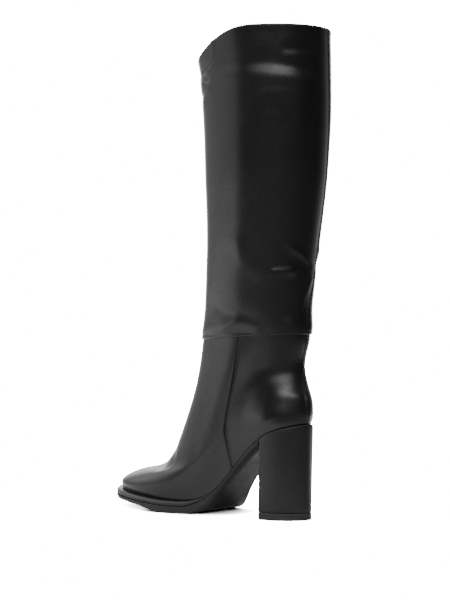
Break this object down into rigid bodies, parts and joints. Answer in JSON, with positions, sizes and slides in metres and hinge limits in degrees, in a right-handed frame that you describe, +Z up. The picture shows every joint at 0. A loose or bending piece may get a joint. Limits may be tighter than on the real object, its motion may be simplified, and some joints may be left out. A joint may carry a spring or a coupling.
{
  "type": "knee-high boot",
  "caption": "Left women's knee-high boot of smooth leather with a round almond toe, a high block heel, a welted sole and a topline that dips at the front.",
  "frame": {"origin": "on the floor plane, at the middle of the boot's bounding box in plan", "axes": "+X to the toe, +Y to the outer side of the leg, +Z up along the shaft"},
  "size_m": [0.2422, 0.1052, 0.435],
  "materials": {
    "black_leather": "smooth black calf leather, satin",
    "insole_leather": "matt dark insole covering",
    "sole_edge": "black dressed welt edge, satin",
    "sole_rubber": "black moulded rubber, matt underneath",
    "heel_cover": "black leather cover, satin",
    "top_piece_rubber": "matt black rubber"
  },
  "bodies": {
    "root": {"upper": "black_leather", "shaft": "black_leather", "insole": "insole_leather", "welt": "sole_edge", "outsole": "sole_rubber", "heel": "heel_cover", "top_piece": "top_piece_rubber"}
  },
  "joints": []
}
